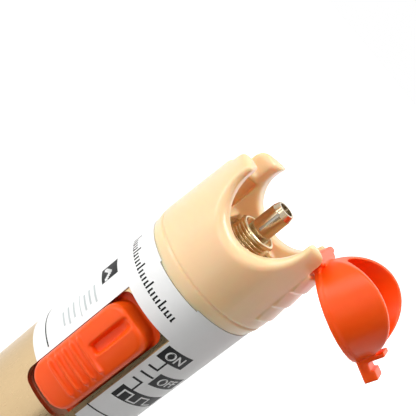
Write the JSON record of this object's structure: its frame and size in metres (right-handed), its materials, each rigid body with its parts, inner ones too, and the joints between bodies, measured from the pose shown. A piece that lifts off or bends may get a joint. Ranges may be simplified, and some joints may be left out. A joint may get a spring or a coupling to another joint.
{
  "type": "visual fault locator",
  "caption": "Pen-shaped visual fault locator with a metal barrel, slide switch, threaded fibre adapter and hinged dust cap.",
  "frame": {"origin": "centre of the tail's flat end face", "axes": "+Z along the pen towards the nose, -Y out through the slide switch, +X towards the cap hinge"},
  "size_m": [0.0467, 0.0294, 0.1802],
  "materials": {
    "gold_tube": "satin champagne-gold anodised aluminium",
    "label_film": "printed white film",
    "cream_plastic": "smooth moulded cream plastic",
    "orange_plastic": "smooth moulded orange plastic",
    "black_plastic": "moulded black plastic",
    "tan_plastic": "moulded tan plastic",
    "board_laminate": "green glass-epoxy laminate",
    "blue_plastic": "moulded blue plastic",
    "plated_steel": "zinc or nickel plated steel",
    "nickel_plate": "nickel plated, polished",
    "turned_brass": "turned, nickel flashed",
    "contact_brass": "stamped sheet",
    "can_aluminium": "drawn can",
    "cell_jacket": "printed jacket",
    "white_ceramic": "polished zirconia",
    "lens_glass": "polished glass",
    "seal_rubber": "moulded seal"
  },
  "bodies": {
    "barrel": {"barrel_tube": "gold_tube", "label_sleeve": "label_film", "front_head": "cream_plastic", "switch_shell": "plated_steel", "switch_base": "black_plastic", "switch_chassis": "tan_plastic", "circuit_board": "board_laminate", "board_screws": "plated_steel", "driver_chip": "black_plastic", "smoothing_capacitor": "can_aluminium", "trim_potentiometer": "blue_plastic", "laser_holder": "turned_brass", "laser_diode": "plated_steel", "collimator_lens": "lens_glass", "lens_ring": "turned_brass", "adapter_barrel": "turned_brass", "adapter_screws": "plated_steel", "ferrule_sleeve": "nickel_plate", "ceramic_sleeve": "white_ceramic", "front_contact": "contact_brass", "battery_liner": "tan_plastic", "battery_front": "cell_jacket", "battery_rear": "cell_jacket"},
    "cap": {"dust_cap": "orange_plastic"},
    "slider": {"slider_button": "orange_plastic", "switch_lever": "black_plastic"},
    "tail": {"tail_cap": "gold_tube", "tail_seal": "seal_rubber", "tail_contact": "contact_brass", "tail_spring": "plated_steel"}
  },
  "joints": [
    {"name": "cap_hinge", "type": "hinge", "parent": "barrel", "child": "cap", "pos_m": [0.0102, 0, 0.1741], "axis": [0, 1, 0], "range_deg": [-195, 0]},
    {"name": "slider_slide", "type": "slide", "parent": "barrel", "child": "slider", "axis": [0, 0, 1], "range_m": [-0.002, 0.002]},
    {"name": "tail_slide", "type": "slide", "parent": "barrel", "child": "tail", "axis": [0, 0, -1], "range_m": [0, 0.012]}
  ]
}
